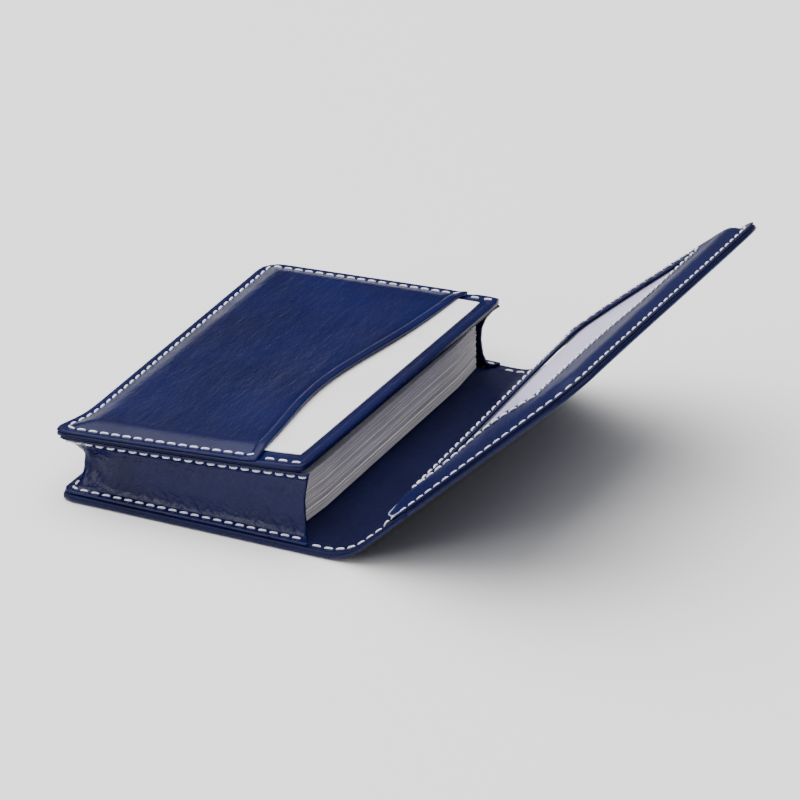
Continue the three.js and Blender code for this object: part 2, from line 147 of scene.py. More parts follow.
def make_object(name, points, faces, material):
    mesh = bpy.data.meshes.new(name)
    mesh.from_pydata([tuple(p) for p in np.asarray(points) * MM], [], faces)
    mesh.validate()
    mesh.polygons.foreach_set("use_smooth", [True] * len(mesh.polygons))
    mesh.materials.append(material)
    mesh.update()
    obj = bpy.data.objects.new(name, mesh)
    bpy.context.scene.collection.objects.link(obj)
    return obj


def twist(s, y):
    """How far the flap's far side stands off a flat sheet: proud at the fold, back at the tip."""
    across = smooth(-HALF, HALF, y)
    rise = smooth(BEND_START - 2.0, FOLD_S - 4.0, s)
    fall = smooth(FOLD_S - 7.0, TIP_S + 11.0, s)
    return across * (FAR_PROUD * rise - (FAR_PROUD + FAR_BACK) * fall)


def bend(s, y, v):
    """A point of the folding leather: s along it from the closed end, v above its middle plane."""
    v = v + twist(s, y)
    angle = np.clip((s - BEND_START) / BEND_RADIUS, 0, FLAP_ANGLE)
    beyond = np.maximum(s - BEND_START - BEND_LENGTH, 0)
    x = X0 + np.minimum(s, BEND_START) + BEND_RADIUS * np.sin(angle) + beyond * math.cos(FLAP_ANGLE)
    z = FOLD[2] + BEND_RADIUS * (1 - np.cos(angle)) + beyond * math.sin(FLAP_ANGLE)
    return np.stack([x - v * np.sin(angle), y, z + v * np.cos(angle)], -1)


def on_front(s, y, v):
    """A point of the front panel: s from the closed end, v above its top face."""
    dx, dy, dz = front_skew(s, y)
    s = s + dx
    x = X0 + s * math.cos(TILT) - v * math.sin(TILT)
    z = FRONT_Z + s * math.sin(TILT) + v * math.cos(TILT)
    return np.stack([x, y + dy, z + dz], -1)


def front_skew(s, y):
    """How use has pulled the front panel out of square: in X, Y and Z."""
    along = np.clip(s / (MOUTH - X0), 0, 1)
    across = np.clip((y + HALF) / (2 * HALF), 0, 1)
    dx = (1 - along) * (1.9 - 3.3 * across)
    dy = along ** 2 * (1.4 - 1.5 * across)
    dz = (1 - along) * (0.45 - 0.75 * across) + along * (0.8 - 1.3 * across)
    curl = np.exp(-(s ** 2 + (y + HALF) ** 2) / 7.0 ** 2)
    return dx - 2.3 * curl, dy - 0.9 * curl, dz + 0.5 * curl


# ---------- panels ----------


class Outline:
    """A rounded rectangle and a set of loops inside it that all have the same points.

    An inner rectangle, inset by depth, carries a regular grid. Each of its border points has a
    partner on every loop, so rounded corners stay free of pinched faces."""

    def __init__(self, x0, x1, y0, y1, radii, depth, step):
        self.low = np.array([x0, y0])
        self.high = np.array([x1, y1])
        self.radii = radii
        self.depth = depth
        inner_low = self.low + depth
        inner_high = self.high - depth
        self.nx = max(2, int(round((inner_high[0] - inner_low[0]) / step)))
        self.ny = max(2, int(round((inner_high[1] - inner_low[1]) / step)))
        self.xs = np.linspace(inner_low[0], inner_high[0], self.nx + 1)
        self.ys = np.linspace(inner_low[1], inner_high[1], self.ny + 1)

    def loop(self, inset):
        (x0, y0), (x1, y1) = self.low, self.high
        corners = [(x0, y0), (x1, y0), (x1, y1), (x0, y1)]
        points = []
        for side in range(4):
            start = np.array(corners[side], float)
            end = np.array(corners[(side + 1) % 4], float)
            length = np.linalg.norm(end - start)
            along = (end - start) / length
            inward = np.array([-along[1], along[0]])
            count = self.nx if side % 2 == 0 else self.ny
            inner = length - 2 * self.depth
            for i in range(count):
                s = inner * i / count
                if s <= inner / 2:
                    points.append(self._place(start, along, inward, s, inset, side))
                else:
                    points.append(self._place(end, -along, inward, inner - s, inset, (side + 1) % 4))
        return np.array(points)

    def _place(self, corner, along, inward, s, inset, index):
        radius = max(self.radii[index] - inset, 0.02)
        offset = self.depth - inset
        reach = 7.0
        arc = radius * math.pi / 4
        if s >= reach:
            t, o = s + offset, 0.0
        else:
            far = arc + reach + offset - radius
            travelled = far * s / reach
            if travelled < arc:
                angle = (arc - travelled) / radius
                t, o = radius - radius * math.sin(angle), radius - radius * math.cos(angle)
            else:
                t, o = radius + travelled - arc, 0.0
        base = corner + inset * (along + inward)
        return base + along * t + inward * o


def edge_insets(depth, fine=RIM_RADIUS):
    near = [0.0, 0.04, 0.12, 0.25, 0.4, fine, 0.8, 1.15, 1.45, 1.7, 2.0, 2.3]
    near += [2.6, 3.0, 3.6, 4.4, 5.4, 6.6]
    return [d for d in near if d < depth - 0.3] + [depth]


def rounding(d, radius):
    r = np.clip(radius - d, 0, radius)
    return radius - np.sqrt(np.maximum(radius ** 2 - r ** 2, 0)) * 0.999


def side_distances(outline, xy):
    (x0, y0), (x1, y1) = outline.low, outline.high
    x, y = xy[:, 0], xy[:, 1]
    return {0: y - y0, 1: x1 - x, 2: y1 - y, 3: x - x0}


def solid_panel(name, outline, surfaces, place, material, cut_sides=(), shape=None):
    """A closed sheet. surfaces(x, y, d) gives its lower and upper heights, and place maps it."""
    insets = edge_insets(outline.depth)
    loops = [outline.loop(d) for d in insets]
    count = len(loops[0])
    gx, gy = np.meshgrid(outline.xs, outline.ys, indexing="ij")
    ring_xy = np.concatenate(loops)
    ring_d = np.repeat(insets, count)
    inner_xy = np.stack([gx[1:-1, 1:-1].ravel(), gy[1:-1, 1:-1].ravel()], -1)
    inner_d = np.minimum.reduce(list(side_distances(outline, inner_xy).values()))
    xy = np.concatenate([ring_xy, inner_xy])
    d = np.concatenate([ring_d, inner_d])
    if cut_sides:
        d = choose_distance(outline, xy, d, cut_sides)
    if shape is not None:
        xy = shape(xy)
    low, high = surfaces(xy[:, 0], xy[:, 1], d)
    bottom = place(xy[:, 0], xy[:, 1], low)
    top = place(xy[:, 0], xy[:, 1], high)
    total = len(xy)
    rings = len(insets)

    def ring(k, i):
        return k * count + i % count

    def grid(i, j):
        if 0 < i < outline.nx and 0 < j < outline.ny:
            return rings * count + (i - 1) * (outline.ny - 1) + (j - 1)
        return ring(rings - 1, border_index(outline, i, j))

    upper = []
    for k in range(rings - 1):
        for i in range(count):
            upper.append((ring(k, i), ring(k, i + 1), ring(k + 1, i + 1), ring(k + 1, i)))
    for i in range(outline.nx):
        for j in range(outline.ny):
            upper.append((grid(i, j), grid(i + 1, j), grid(i + 1, j + 1), grid(i, j + 1)))
    faces = [tuple(v + total for v in face) for face in upper]
    faces += [tuple(reversed(face)) for face in upper]
    for i in range(count):
        faces.append((ring(0, i), ring(0, i + 1), total + ring(0, i + 1), total + ring(0, i)))
    return make_object(name, np.concatenate([bottom, top]), faces, material)


def choose_distance(outline, xy, d, cut_sides):
    """Ring distance where a real edge is nearest, and the distance to a real edge elsewhere."""
    distances = side_distances(outline, xy)
    real = np.minimum.reduce([v for side, v in distances.items() if side not in cut_sides])
    cut = np.minimum.reduce([v for side, v in distances.items() if side in cut_sides])
    return np.where(cut < real, real, d)


def border_index(outline, i, j):
    nx, ny = outline.nx, outline.ny
    if j == 0:
        return i
    if i == nx:
        return nx + j
    if j == ny:
        return nx + ny + (nx - i)
    return 2 * nx + ny + (ny - j)


# ---------- materials ----------


def new_material(name):
    material = bpy.data.materials.new(name)
    material.use_nodes = True
    tree = material.node_tree
    return material, tree, tree.nodes["Principled BSDF"]


def object_coordinates(tree, scale=(1, 1, 1), rotation=0.0):
    coordinates = tree.nodes.new("ShaderNodeTexCoord")
    mapping = tree.nodes.new("ShaderNodeMapping")
    mapping.inputs["Scale"].default_value = scale
    mapping.inputs["Rotation"].default_value = (0, 0, rotation)
    tree.links.new(coordinates.outputs["Object"], mapping.inputs["Vector"])
    return mapping.outputs["Vector"]


def noise(tree, vector, scale, detail=3.0, roughness=0.55):
    node = tree.nodes.new("ShaderNodeTexNoise")
    node.inputs["Scale"].default_value = scale
    node.inputs["Detail"].default_value = detail
    node.inputs["Roughness"].default_value = roughness
    tree.links.new(vector, node.inputs["Vector"])
    return node.outputs["Fac"]


def ramp(tree, value, stops):
    node = tree.nodes.new("ShaderNodeValToRGB")
    elements = node.color_ramp.elements
    while len(elements) < len(stops):
        elements.new(0.5)
    for element, (position, colour) in zip(elements, stops):
        element.position = position
        element.color = (*colour, 1)
    tree.links.new(value, node.inputs["Fac"])
    return node.outputs["Color"]


def spread(tree, value, low, high):
    node = tree.nodes.new("ShaderNodeMapRange")
    node.inputs["To Min"].default_value = low
    node.inputs["To Max"].default_value = high
    tree.links.new(value, node.inputs["Value"])
    return node.outputs["Result"]


def add_bump(tree, height, strength, distance, below=None):
    node = tree.nodes.new("ShaderNodeBump")
    node.inputs["Strength"].default_value = strength
    node.inputs["Distance"].default_value = distance
    tree.links.new(height, node.inputs["Height"])
    if below is not None:
        tree.links.new(below, node.inputs["Normal"])
    return node.outputs["Normal"]


def leather_material(name, deep, light, gloss, grain=1.0, glaze_weight=0.05):
    """Polished calf: fine pebbled grain, soft creases and an uneven glaze."""
    material, tree, shader = new_material(name)
    plain = object_coordinates(tree)
    creased = object_coordinates(tree, scale=(1.0, 0.28, 1.0), rotation=0.5)
    cloud = noise(tree, plain, 45, 4)
    tree.links.new(ramp(tree, cloud, [(0.3, deep), (0.72, light)]), shader.inputs["Base Color"])
    glaze = noise(tree, plain, 160, 3)
    tree.links.new(spread(tree, glaze, gloss - 0.07, gloss + 0.12), shader.inputs["Roughness"])
    pebbles = tree.nodes.new("ShaderNodeTexVoronoi")
    pebbles.feature = "SMOOTH_F1"
    pebbles.inputs["Scale"].default_value = 1700
    tree.links.new(plain, pebbles.inputs["Vector"])
    first = add_bump(tree, pebbles.outputs["Distance"], 0.10 * grain, 0.0004)
    second = add_bump(tree, noise(tree, creased, 900, 4), 0.16 * grain, 0.0006, first)
    third = add_bump(tree, noise(tree, creased, 190, 3), 0.22 * grain, 0.0012, second)
    tree.links.new(third, shader.inputs["Normal"])
    shader.inputs["Specular IOR Level"].default_value = 0.14
    shader.inputs["Coat Weight"].default_value = glaze_weight
    shader.inputs["Coat Roughness"].default_value = 0.2
    return material


def paper_material(name, colour, shade, fibre=0.06):
    material, tree, shader = new_material(name)
    plain = object_coordinates(tree)
    tone = noise(tree, plain, 120, 3)
    tree.links.new(ramp(tree, tone, [(0.3, shade), (0.7, colour)]), shader.inputs["Base Color"])
    tree.links.new(add_bump(tree, noise(tree, plain, 2500, 2), fibre, 0.0002), shader.inputs["Normal"])
    shader.inputs["Roughness"].default_value = 0.55
    return material


def layered_paper_material(name, colour, shade):
    """The cut edges of a stack: each sheet a slightly different tone, and the whole painted darker
    than the card faces as shade on the stack's sides.
    """
    material, tree, shader = new_material(name)
    vector = object_coordinates(tree, scale=(0.02, 0.02, 1))
    tone = noise(tree, vector, 2600, 2)
    tree.links.new(ramp(tree, tone, [(0.3, shade), (0.55, colour)]), shader.inputs["Base Color"])
    shader.inputs["Roughness"].default_value = 0.7
    return material


def thread_material():
    material, tree, shader = new_material("waxed_thread")
    plain = object_coordinates(tree)
    tone = noise(tree, plain, 900, 2)
    tree.links.new(
        ramp(tree, tone, [(0.3, (0.62, 0.62, 0.76)), (0.7, (0.86, 0.86, 0.95))]),
        shader.inputs["Base Color"])
    wave = tree.nodes.new("ShaderNodeTexWave")
    wave.inputs["Scale"].default_value = 1500
    wave.inputs["Distortion"].default_value = 1.5
    wave.bands_direction = "DIAGONAL"
    tree.links.new(plain, wave.inputs["Vector"])
    tree.links.new(add_bump(tree, wave.outputs["Fac"], 0.35, 0.0002), shader.inputs["Normal"])
    shader.inputs["Roughness"].default_value = 0.6
    shader.inputs["Sheen Weight"].default_value = 0.2
    return material


def film_material():
    material, tree, shader = new_material("clear_film")
    plain = object_coordinates(tree)
    tree.links.new(spread(tree, noise(tree, plain, 60, 2), 0.06, 0.16), shader.inputs["Roughness"])
    shader.inputs["Base Color"].default_value = (0.85, 0.84, 0.95, 1)
    shader.inputs["Alpha"].default_value = 0.08
    shader.inputs["Specular IOR Level"].default_value = 0.3
    return material


def board_material():
    material, tree, shader = new_material("grey_board")
    plain = object_coordinates(tree)
    tone = noise(tree, plain, 400, 4)
    tree.links.new(
        ramp(tree, tone, [(0.3, (0.2, 0.185, 0.16)), (0.7, (0.33, 0.31, 0.27))]),
        shader.inputs["Base Color"])
    shader.inputs["Roughness"].default_value = 0.9
    return material


NAVY_DEEP = (0.0017, 0.0030, 0.034)
NAVY_LIGHT = (0.0028, 0.0052, 0.055)
NAVY = leather_material("navy_leather", NAVY_DEEP, NAVY_LIGHT, 0.30)
NAVY_GRAINED = leather_material("navy_leather_grained", NAVY_DEEP, NAVY_LIGHT, 0.24, 2.2, 0.1)
NAVY_INSIDE = leather_material(
    "navy_lining", (0.0030, 0.0038, 0.026), (0.0045, 0.006, 0.040), 0.42, 0.8, 0.0)
NAVY_PANEL = leather_material(
    "navy_window_panel", (0.0030, 0.0044, 0.036), (0.0046, 0.0070, 0.056), 0.5, 1.0, 0.0)
# pale blue: a painted highlight for the rounded top of the window panel's mouth edge
MOUTH_HIGHLIGHT_PAINT = leather_material("painted_mouth_highlight", (0.24, 0.26, 0.42), (0.34, 0.36, 0.54), 0.4)
PAPER = paper_material("white_card", (0.86, 0.855, 0.87), (0.8, 0.795, 0.82))
# card edges: per-sheet tones, with painted shade making them darker than the faces
CARD_EDGES_PAINTED_SHADE = layered_paper_material("card_edges_painted_shade", (0.64, 0.60, 0.59), (0.46, 0.43, 0.42))
PALE_PAPER = paper_material("pale_card", (0.52, 0.48, 0.72), (0.46, 0.42, 0.66))
THREAD = thread_material()
FILM = film_material()
BOARD = board_material()

# ---------- folding leather and its lining ----------


def stitch_groove(d, depth=0.16):
    return -depth * bump(d, STITCH_INSET, 0.55)


def board_share(x, d, board):
    """1 over the stiffener, 0 in the margins and where the leather folds."""
    start = smooth(board[0] - 0.6, board[0] + 1.6, x)
    end = smooth(board[1] + 0.6, board[1] - 1.6, x)
    return smooth(MARGIN_IN, MARGIN_OUT, d) * start * end


def boards_share(x, d):
    return board_share(x, d, CASE_BOARD) + board_share(x, d, FLAP_BOARD)


CASE_BOARD = (3.0, MOUTH - X0 - 3.0)
FLAP_BOARD = (FOLD_S + 3.0, TIP_S - 1.5)


def margin(x, ply):
    """A ply's face in the sewn margin, thinned from the case toward the flap."""
    toward_flap = smooth(BEND_START, FOLD_S - 6.0, x)
    return CASE_MARGIN[ply] * (1 - toward_flap) + FLAP_MARGIN[ply] * toward_flap


def lining_top(x, d):
    share = boards_share(x, d)
    return margin(x, 1) * (1 - share) + LINING_TOP * share


def leather_surfaces(x, y, d):
    share = boards_share(x, d)
    high = (margin(x, 0) - PLY_GAP) * (1 - share) + BOARD_LOW * share
    low = -LEATHER_HALF - stitch_groove(d, 0.2)
    return low + rounding(d, RIM_RADIUS), high - rounding(d, PLY_RADIUS)


def lining_surfaces(x, y, d):
    share = boards_share(x, d)
    low = (margin(x, 0) + PLY_GAP) * (1 - share) + BOARD_HIGH * share
    high = lining_top(x, d) + stitch_groove(d) + 0.035 * ripples(x, y, 5, 9.0, 0.3) * smooth(2.5, 6, d)
    return low + rounding(d, PLY_RADIUS), high - rounding(d, 0.35)


def fold_lower(piece):
    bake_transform(piece)


def fold_upper(piece):
    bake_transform(piece)


def build_folding_leather():
    lower = Outline(0, SPLIT_S, -HALF, HALF, (NEAR_CORNER, 0, 0, FAR_CORNER), 8.0, 1.2)
    upper = Outline(SPLIT_S, TIP_S, -HALF, HALF, (0, TIP_CORNER, TIP_CORNER, 0), 8.0, 1.2)
    specs = [
        ("back_leather", lower, leather_surfaces, (1,), fold_lower,
         ["back_outer_leather"], NAVY, "outer_leather"),
        ("flap_leather", upper, leather_surfaces, (3,), fold_upper,
         ["spine_outer_leather", "flap_outer_leather"], NAVY, "outer_leather"),
        ("back_lining_leather", lower, lining_surfaces, (1,), fold_lower,
         ["back_lining"], NAVY_INSIDE, "lining_leather"),
        ("flap_lining_leather", upper, lining_surfaces, (3,), fold_upper,
         ["spine_lining", "flap_lining"], NAVY_INSIDE, "lining_leather"),
    ]
    for name, outline, surfaces, cut, fold, nodes, material, slot in specs:
        piece = solid_panel(name, outline, surfaces, bend, material, cut)
        fold(piece)
        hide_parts(*nodes)


# ---------- front panel and slip pocket ----------


FRONT_UNDER = -1.5                     # the front panel's underside in its sewn margin
SLIP_MOUTH = 9.45                      # slip pocket's mouth edge, back from the front panel's
SLIP_SKEW = 1.25                       # how far that edge is out of square, either side
SLIP_SCOOP = 4.35                      # depth of the hollow in it
SLIP_LIFT = 0.65                       # how far its mouth gapes over the card, in the middle
CARD_LOW = 0.05                        # the slip card, above the front leather
CARD_HIGH = 0.36


def slip_mouth(y):
    """Where the slip pocket's hollowed mouth edge lies at y, from the closed end."""
    t = np.clip(y / HALF, -1, 1)
    return MOUTH - X0 - SLIP_MOUTH + SLIP_SKEW * t - SLIP_SCOOP * bump(t, -0.22, 0.54)


def under_slip(x, y):
    """1 where the slip pocket covers the front leather's margin."""
    return smooth(1.6, -0.6, x - slip_mouth(y))


def front_surfaces(x, y, d):
    inside = smooth(MARGIN_IN, MARGIN_OUT, d)
    margin_high = -0.05 - 0.38 * under_slip(x, y)
    high = margin_high * (1 - inside) + stitch_groove(d, 0.1) + 0.06 * bump(MOUTH - X0 - x, 1.3, 0.8)
    low = -1.05 + (1.05 - 0.72) * inside
    return low + rounding(d, PLY_RADIUS), high - rounding(d, 0.4)


def front_lining_surfaces(x, y, d):
    inside = smooth(MARGIN_IN, MARGIN_OUT, d)
    low = FRONT_UNDER - (LAYERS + FRONT_UNDER) * inside
    high = -1.1 - 0.68 * inside
    return low + rounding(d, 0.35), high - rounding(d, PLY_RADIUS)


def build_front_panel():
    length = MOUTH - X0
    outline = Outline(
        0, length, -HALF, HALF, (NEAR_CORNER, MOUTH_CORNER, MOUTH_CORNER, FAR_CORNER), 8.0, 1.2)
    top = solid_panel("front_leather", outline, front_surfaces, on_front, NAVY)
    under = solid_panel("front_lining_leather", outline, front_lining_surfaces, on_front, NAVY_INSIDE)
    for piece, node, slot in [(top, "front_outer_leather", "outer_leather"),
                              (under, "front_lining", "lining_leather")]:
        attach(piece, "case")
        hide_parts(node)


def slip_surfaces(x, y, d):
    edge = slip_mouth(y) - x
    side = HALF - np.abs(y)
    frame_in = np.minimum(side, x)
    inside = smooth(1.4, 6.5, frame_in)
    middle = 1 - np.clip(np.abs(y + 4) / stack_high[1], 0, 1) ** 2.0
    gape = SLIP_LIFT * middle * smooth(20, 1, edge)
    base = -0.38 + (CARD_HIGH + 0.06 + 0.38) * inside + gape
    thick = 0.55 + 0.05 * inside + 0.2 * smooth(2.4, 1.8, edge)
    ridge = 0.1 * bump(frame_in, 5.6, 1.8)
    creases = 0.035 * ripples(x, y, 11, 26.0, 0.9, 0.9) * smooth(3, 8, frame_in)
    pulls = 0.15 * ripples(x * 0.55, y, 23, 3.4, 1.5, 0.2)
    pulls = pulls * bump(side, 4.6, 2.2) * bump(edge, 3.0, 5.0)
    hem = -0.3 * bump(edge, 2.5, 0.3) + 0.1 * bump(edge, 1.2, 0.8)
    high = base + thick + ridge + creases + pulls + hem + stitch_groove(frame_in, 0.16)
    return base + rounding(d, 0.3), high - rounding(d, 0.42)


def build_slip_pocket():
    length = MOUTH - X0 - SLIP_MOUTH
    outline = Outline(0, length, -HALF, HALF, (NEAR_CORNER, 0.5, 0.5, FAR_CORNER), 8.0, 1.0)

    def shape(xy):
        x, y = xy[:, 0], xy[:, 1]
        pull = smooth(0.0, 1.0, np.clip(x / length, 0, 1)) ** 1.5
        return np.stack([x + (slip_mouth(y) - length) * pull, y], -1)

    piece = solid_panel("slip_pocket_leather", outline, slip_surfaces, on_front, NAVY, shape=shape)
    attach(piece, "case")
    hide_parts("slip_pocket")


def build_slip_card():
    low, high = node_box("slip_card")
    start = low[0] - X0
    end = (high[0] - X0) / math.cos(TILT)
    outline = Outline(start, end, low[1], high[1], (0.5,) * 4, 4.0, 3.0)

    def surfaces(x, y, d):
        return CARD_LOW + 0 * x, CARD_HIGH + 0 * x

    piece = solid_panel("slip_card_paper", outline, surfaces, on_front, PAPER)
    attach(piece, "slip_card")
    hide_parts("slip_card")


# ---------- gusset ----------

GUSSET_THICK = 0.7
FLANGE_GAP = 0.06                      # glue line under the flange

# Along the strip's width: how far it stands out to the edge, and its share of the height.
WALL_PROFILE = np.array([
    (0.00, 1.00, 0.000), (0.10, 0.62, 0.000), (0.20, 0.24, 0.012), (0.27, 0.07, 0.075),
    (0.34, 0.00, 0.19), (0.50, -0.04, 0.45), (0.64, 0.02, 0.66), (0.78, 0.28, 0.84),
    (0.90, 0.66, 0.955), (1.00, 0.97, 1.0)])
FOLDED_PROFILE = np.array([
    (0.00, 1.00, 0.000), (0.12, 0.58, 0.00), (0.20, 0.38, 0.05), (0.34, 0.13, 0.28),
    (0.44, 0.02, 0.44), (0.52, 0.00, 0.53), (0.64, 0.14, 0.68), (0.78, 0.42, 0.84),
    (0.90, 0.74, 0.95), (1.00, 0.97, 1.0)])


def along_profile(profile, t):
    return [np.interp(t, profile[:, 0], profile[:, k]) for k in (1, 2)]


def build_gusset():
    """One strip round three sides: a flange on the back panel, a hollowed wall, and a slope
    up to the front panel's edge. At the closed end it folds inward in a V."""
    inset = 0.55
    side_depth = HALF - inset - (stack_high[1] + 1.1)
    end_depth = 4.1
    length = MOUTH - X0 - 0.3
    # The outline is drawn too long and its sides are then shortened to the mouth.
    drawn_length = length + 40
    straight = 12.0
    outline = Outline(inset, drawn_length, -HALF + inset, HALF - inset,
                      (NEAR_CORNER - inset, 0, 0, FAR_CORNER - inset), side_depth, 0.9)
    edge = outline.loop(0.0)
    wall = outline.loop(side_depth)
    nx, ny = outline.nx, outline.ny
    near = list(range(nx, -1, -1))
    end = [2 * nx + 2 * ny - k for k in range(1, ny)]
    far = list(range(2 * nx + ny, nx + ny - 1, -1))
    sequence = (near + end + far)[::-1]
    edge = edge[sequence]
    wall = wall[sequence]
    wall[:, 0] += (end_depth - side_depth) * smooth(9, inset + side_depth, wall[:, 0])
    ts = np.concatenate([
        np.linspace(0, 0.16, 6), np.linspace(0.18, 0.4, 16), np.linspace(0.44, 1.0, 24)])
    folded = smooth(13.0, 4.5, edge[:, 0])
    rows = []
    for t in ts:
        out_wall, rise_wall = along_profile(WALL_PROFILE, t)
        out_fold, rise_fold = along_profile(FOLDED_PROFILE, t)
        out = out_wall * (1 - folded) + out_fold * folded
        rise = rise_wall * (1 - folded) + rise_fold * folded
        x = wall[:, 0] * (1 - out) + edge[:, 0] * out
        y = wall[:, 1] * (1 - out) + edge[:, 1] * out
        bow = (4 * rise * (1 - rise)) ** 0.8
        hollow = np.where(y < 0, 0.3, 1.5) * bow
        full = length - hollow + np.where(y < 0, 1.6, 0.0)
        along = (x - straight) / (drawn_length - straight)
        x = np.where(x > straight, straight + (full - straight) * np.clip(along, 0, 1), x)
        inward = np.minimum(HALF - np.abs(y), x)
        flat = FOLD[2] + lining_top(np.clip(x, 0, MOUTH - X0 - 4), inward)
        low = flat + FLANGE_GAP + GUSSET_THICK / 2
        on_top = smooth(0.5, 1.0, rise)
        dx, dy, dz = front_skew(x, y)
        top = FRONT_Z + x * math.tan(TILT) + FRONT_UNDER - 0.05 + dz - GUSSET_THICK / 2
        z = low + (top - low) * rise
        on_side = smooth(6, 12, x)
        body = bump(t, 0.5, 0.25)
        y = y + np.sign(y) * 0.3 * on_side * body + dy * on_top
        x = x + dx * on_top
        crumple = bump(t, 0.3, 0.08) * 0.11 + bump(t, 0.62, 0.2) * 0.06
        lump = ripples(x + 37 * t, y + 60 * t, 31, 2.4, 0.0, 0.9) * crumple
        slow = ripples(x, y + 30 * t, 37, 16.0, 0.4, 0.6) * 0.16 * body
        push = (lump + slow) * (0.5 + 0.5 * on_side)
        push = push - 1.6 * bump(x, 6.5, 3.5) * bow
        end_wall = np.abs(y) < HALF - 6
        y = y + np.where(end_wall, 0, np.sign(y) * push)
        x = x - np.where(end_wall, np.abs(push), 0)
        rows.append(np.stack([X0 + x, y, z], -1))
    middle = np.array(rows)
    across = np.gradient(middle, axis=0)
    along = np.gradient(middle, axis=1)
    normal = np.cross(along, across)
    normal /= np.linalg.norm(normal, axis=2, keepdims=True) + 1e-9
    piece = thick_grid("gusset_leather", middle, normal, GUSSET_THICK, NAVY_GRAINED)
    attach(piece, "case")
    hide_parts("gusset_near", "gusset_far", "gusset_end")
    return middle, normal


def thick_grid(name, middle, normal, thickness, material):
    rows, columns = middle.shape[:2]
    outer = (middle + normal * thickness / 2).reshape(-1, 3)
    inner = (middle - normal * thickness / 2).reshape(-1, 3)
    total = rows * columns
    faces = []
    for i in range(rows - 1):
        for j in range(columns - 1):
            a, b = i * columns + j, i * columns + j + 1
            c, d = b + columns, a + columns
            faces.append((a, b, c, d))
            faces.append((total + d, total + c, total + b, total + a))
    border = list(range(columns))
    border += [i * columns + columns - 1 for i in range(1, rows)]
    border += [(rows - 1) * columns + j for j in range(columns - 2, -1, -1)]
    border += [i * columns for i in range(rows - 2, 0, -1)]
    for a, b in zip(border, border[1:] + border[:1]):
        faces.append((b, a, total + a, total + b))
    return make_object(name, np.concatenate([outer, inner]), faces, material)


# ---------- cards ----------

CAD_GAP = 0.3                          # between two cards of the frame

def card_mesh(x0, x1, half, z0, z1, seed):
    """One card, set slightly out of line: its points, its faces, and which faces are its edge."""
    rng = np.random.RandomState(seed)
    outline = Outline(x0, x1, -half, half, (3.0, 3.0, 3.0, 3.0), 4.0, 8.0)
    points, faces, sides = [], [], []
    shift = rng.uniform(-0.1, 0.1, 2)
    loop = outline.loop(0.0) + shift
    count = len(loop)
    for z in (z0, z1):
        points += [(x, y, z) for x, y in loop]
    faces.append(tuple(range(count))[::-1])
    faces.append(tuple(range(count, 2 * count)))
    for i in range(count):
        j = (i + 1) % count
        faces.append((i, j, count + j, count + i))
        sides.append(len(faces) - 1)
    return points, faces, sides


def build_cards():
    """Two thin cards for each thicker one in the frame, filling the gap above it too."""
    nodes = sorted(n for n in frame["nodes"] if n.startswith("card_"))
    for index, node in enumerate(nodes + ["top_card"]):
        box_low, box_high = node_box(node)
        sheets = 1 if node == "top_card" else 2
        pitch = (box_high[2] - box_low[2] + CAD_GAP) / 2
        points, faces, sides = [], [], []
        for k in range(sheets):
            z0 = box_low[2] + k * pitch
            z1 = z0 + pitch - 0.03
            p, f, s = card_mesh(box_low[0], box_high[0], stack_high[1], z0, z1, index * 7 + k)
            base = len(points)
            sides += [len(faces) + i for i in s]
            points += p
            faces += [tuple(v + base for v in face) for face in f]
        piece = make_object("cards_" + node, points, faces, PAPER)
        # the stack's side faces take the edge material, which carries painted shade
        piece.data.materials.append(CARD_EDGES_PAINTED_SHADE)
        edge_faces = set(sides)
        for i, polygon in enumerate(piece.data.polygons):
            polygon.use_smooth = False
            polygon.material_index = int(i in edge_faces)
        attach(piece, "top_card" if node == "top_card" else "case")
        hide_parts(node)


# ---------- window panel ----------

WINDOW_MOUTH = 10.5                    # panel's mouth edge, before the upper fold
WINDOW_X0 = 0.8                        # window, from the upper fold
WINDOW_X1 = 36.0
WINDOW_HALF = 39.5
EDGE_RADIUS = 0.18                     # pale bead painted as a highlight along the panel's mouth edge
PANEL_THICK = 0.55
PANEL_RADIUS = 0.42                    # rolled edges of the panel and its window
CARD_TOP = 2.42                        # window card's face
CARD_UNDER = 0.2                       # the card, above the lining
FILM_GAP = 0.2                         # the film, above the card
FILM_THICK = 0.07
PANEL_START = FOLD_S - WINDOW_MOUTH
WINDOW_LOW = np.array([FOLD_S + WINDOW_X0, -WINDOW_HALF])
WINDOW_HIGH = np.array([FOLD_S + WINDOW_X1, WINDOW_HALF])


def panel_base(x, y, side):
    """Underside of the window panel, over the lining at the sides and the card inside."""
    seat = lining_top(x, side) + 0.03
    near = smooth(15, -15, y)
    puff = 1.5 * bump(x, FOLD_S + 25.0, 12.0)
    tilt = puff * near * smooth(3, 10.5, side) + 0.3 * (1 - near) * smooth(11, 6, side)
    over = CARD_TOP + 0.32 + tilt - seat
    lip = 0.4 * smooth(PANEL_START + 2.5, PANEL_START, x) * smooth(1.8, 5.0, side)
    from_mouth = smooth(PANEL_START - 2, PANEL_START + 8, x)
    return seat + lip + over * smooth(1.8, 6.2, side) * from_mouth


def panel_outline():
    radii = (11.0, TIP_CORNER, TIP_CORNER, 11.0)
    return Outline(PANEL_START, TIP_S, -HALF, HALF, radii, 5.0, 1.3)


